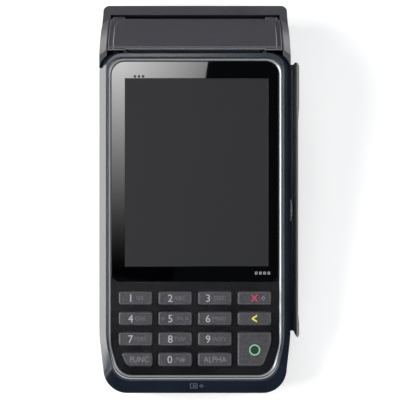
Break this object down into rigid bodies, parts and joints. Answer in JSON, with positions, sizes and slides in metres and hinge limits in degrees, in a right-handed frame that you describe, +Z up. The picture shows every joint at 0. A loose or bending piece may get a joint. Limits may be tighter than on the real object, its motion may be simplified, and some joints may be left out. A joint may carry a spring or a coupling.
{
  "type": "card payment terminal",
  "caption": "Portable card payment terminal with keypad, touch display, swipe slot, chip card slot and a hinged lid over a receipt printer.",
  "frame": {"origin": "on the surface that the terminal stands on, under the middle of its overall box", "axes": "+Z up; +Y from the keypad end to the printer end; +X to the right as the keypad is read, the swipe rail's side"},
  "size_m": [0.0836, 0.1687, 0.0559],
  "materials": {
    "navy_shell": "satin moulded",
    "shell": "fine spark texture",
    "lid": "fine spark texture",
    "inner_plastic": "plain moulded",
    "trim": "satin silver paint",
    "lens": "polished black",
    "touch": "anti-glare film",
    "panel": "semi-gloss black",
    "keys": "lacquered silicone",
    "silicone": "matte",
    "board": "solder mask",
    "chip": "moulded epoxy",
    "antenna": "flexible film",
    "steel": "plated",
    "frame_steel": "zinc plated",
    "gold": "gold flash",
    "battery": "shrink film",
    "head_metal": "polished",
    "gear_plastic": "natural acetal",
    "paper": "smooth thermal paper",
    "core": "card",
    "ceramic_head": "glazed"
  },
  "bodies": {
    "terminal": {"front_housing": "navy_shell", "rear_housing": "shell", "trim_ring": "trim", "display_lens": "lens", "touch_panel": "touch", "lcd_frame": "steel", "lcd_panel": "touch", "contactless_antenna": "antenna", "keypad_panel": "panel", "keypad_membrane": "silicone", "main_board": "board", "board_chips": "chip", "security_shield": "steel", "card_holders": "steel", "coin_cell": "steel", "chip_reader": "inner_plastic", "chip_contacts": "gold", "battery_pack": "battery", "battery_contacts": "gold", "stripe_rail": "lid", "paper_bucket": "inner_plastic", "printer_frame": "frame_steel", "head_spring": "steel", "feed_motor": "steel", "lid_hinge_pin": "steel", "speaker": "chip", "charge_contacts": "gold", "usb_socket": "steel", "housing_screws": "steel", "board_screws": "steel", "feet": "silicone"},
    "lid": {"printer_lid": "lid", "tear_bar": "steel", "platen_bushes": "gear_plastic"},
    "platen": {"platen_roller": "silicone", "platen_shaft": "steel", "platen_gear": "gear_plastic"},
    "idler": {"idler_gear": "gear_plastic"},
    "pinion": {"motor_pinion": "gold"},
    "paper": {"paper_roll": "paper", "paper_core": "core"},
    "thermal_head": {"print_head": "ceramic_head"},
    "swipe_head": {"stripe_head": "head_metal"},
    "battery_door": {"battery_cover": "shell"},
    "port_flap": {"usb_cover": "silicone"},
    "button_1": {"key_1": "keys"},
    "button_2": {"key_2": "keys"},
    "button_3": {"key_3": "keys"},
    "button_cancel": {"key_cancel": "keys"},
    "button_4": {"key_4": "keys"},
    "button_5": {"key_5": "keys"},
    "button_6": {"key_6": "keys"},
    "button_clear": {"key_clear": "keys"},
    "button_7": {"key_7": "keys"},
    "button_8": {"key_8": "keys"},
    "button_9": {"key_9": "keys"},
    "button_enter": {"key_enter": "keys"},
    "button_func": {"key_func": "keys"},
    "button_0": {"key_0": "keys"},
    "button_alpha": {"key_alpha": "keys"}
  },
  "joints": [
    {"name": "lid_hinge", "type": "hinge", "parent": "terminal", "child": "lid", "pos_m": [-0.0018, 0.07452, 0.0302], "axis": [-1, 0, 0], "range_deg": [0, 72]},
    {"name": "platen_spin", "type": "hinge", "parent": "lid", "child": "platen", "pos_m": [-0.0018, 0.05602, 0.0462], "axis": [1, 0, 0], "continuous": true},
    {"name": "idler_spin", "type": "hinge", "parent": "terminal", "child": "idler", "pos_m": [-0.0348, 0.04782, 0.038], "axis": [1, 0, 0], "continuous": true},
    {"name": "pinion_spin", "type": "hinge", "parent": "terminal", "child": "pinion", "pos_m": [-0.0348, 0.03735, 0.03634], "axis": [1, 0, 0], "continuous": true},
    {"name": "paper_roll_spin", "type": "hinge", "parent": "terminal", "child": "paper", "pos_m": [-0.0018, 0.06022, 0.0203], "axis": [1, 0, 0], "continuous": true},
    {"name": "thermal_head_pivot", "type": "hinge", "parent": "terminal", "child": "thermal_head", "pos_m": [-0.0018, 0.05067, 0.0392], "axis": [1, 0, 0], "range_deg": [0, 4], "stiffness_Nm_per_rad": 0.2, "springref_deg": -2.86},
    {"name": "swipe_head_slide", "type": "slide", "parent": "terminal", "child": "swipe_head", "axis": [-1, 0, 0], "range_m": [0, 0.0008], "stiffness_N_per_m": 300, "springref_m": -0.0003},
    {"name": "battery_door_hinge", "type": "hinge", "parent": "terminal", "child": "battery_door", "pos_m": [-0.0018, 0.01543, 0.00165], "axis": [1, 0, 0], "range_deg": [0, 75]},
    {"name": "port_flap_hinge", "type": "hinge", "parent": "terminal", "child": "port_flap", "pos_m": [-0.0412, 0.02268, 0.0116], "axis": [0, -1, 0], "range_deg": [0, 90]},
    {"name": "press_1", "type": "slide", "parent": "terminal", "child": "button_1", "axis": [0, 0.225, -0.9744], "range_m": [0, 0.0008], "stiffness_N_per_m": 400, "springref_m": -0.0003},
    {"name": "press_2", "type": "slide", "parent": "terminal", "child": "button_2", "axis": [0, 0.225, -0.9744], "range_m": [0, 0.0008], "stiffness_N_per_m": 400, "springref_m": -0.0003},
    {"name": "press_3", "type": "slide", "parent": "terminal", "child": "button_3", "axis": [0, 0.225, -0.9744], "range_m": [0, 0.0008], "stiffness_N_per_m": 400, "springref_m": -0.0003},
    {"name": "press_cancel", "type": "slide", "parent": "terminal", "child": "button_cancel", "axis": [0, 0.225, -0.9744], "range_m": [0, 0.0008], "stiffness_N_per_m": 400, "springref_m": -0.0003},
    {"name": "press_4", "type": "slide", "parent": "terminal", "child": "button_4", "axis": [0, 0.225, -0.9744], "range_m": [0, 0.0008], "stiffness_N_per_m": 400, "springref_m": -0.0003},
    {"name": "press_5", "type": "slide", "parent": "terminal", "child": "button_5", "axis": [0, 0.225, -0.9744], "range_m": [0, 0.0008], "stiffness_N_per_m": 400, "springref_m": -0.0003},
    {"name": "press_6", "type": "slide", "parent": "terminal", "child": "button_6", "axis": [0, 0.225, -0.9744], "range_m": [0, 0.0008], "stiffness_N_per_m": 400, "springref_m": -0.0003},
    {"name": "press_clear", "type": "slide", "parent": "terminal", "child": "button_clear", "axis": [0, 0.225, -0.9744], "range_m": [0, 0.0008], "stiffness_N_per_m": 400, "springref_m": -0.0003},
    {"name": "press_7", "type": "slide", "parent": "terminal", "child": "button_7", "axis": [0, 0.225, -0.9744], "range_m": [0, 0.0008], "stiffness_N_per_m": 400, "springref_m": -0.0003},
    {"name": "press_8", "type": "slide", "parent": "terminal", "child": "button_8", "axis": [0, 0.225, -0.9744], "range_m": [0, 0.0008], "stiffness_N_per_m": 400, "springref_m": -0.0003},
    {"name": "press_9", "type": "slide", "parent": "terminal", "child": "button_9", "axis": [0, 0.225, -0.9744], "range_m": [0, 0.0008], "stiffness_N_per_m": 400, "springref_m": -0.0003},
    {"name": "press_enter", "type": "slide", "parent": "terminal", "child": "button_enter", "axis": [0, 0.225, -0.9744], "range_m": [0, 0.0008], "stiffness_N_per_m": 400, "springref_m": -0.0003},
    {"name": "press_func", "type": "slide", "parent": "terminal", "child": "button_func", "axis": [0, 0.225, -0.9744], "range_m": [0, 0.0008], "stiffness_N_per_m": 400, "springref_m": -0.0003},
    {"name": "press_0", "type": "slide", "parent": "terminal", "child": "button_0", "axis": [0, 0.225, -0.9744], "range_m": [0, 0.0008], "stiffness_N_per_m": 400, "springref_m": -0.0003},
    {"name": "press_alpha", "type": "slide", "parent": "terminal", "child": "button_alpha", "axis": [0, 0.225, -0.9744], "range_m": [0, 0.0008], "stiffness_N_per_m": 400, "springref_m": -0.0003}
  ],
  "couplings": [
    {"joint": "idler_spin", "follows": "platen_spin", "ratio": -0.53333},
    {"joint": "pinion_spin", "follows": "platen_spin", "ratio": 1.3333}
  ]
}
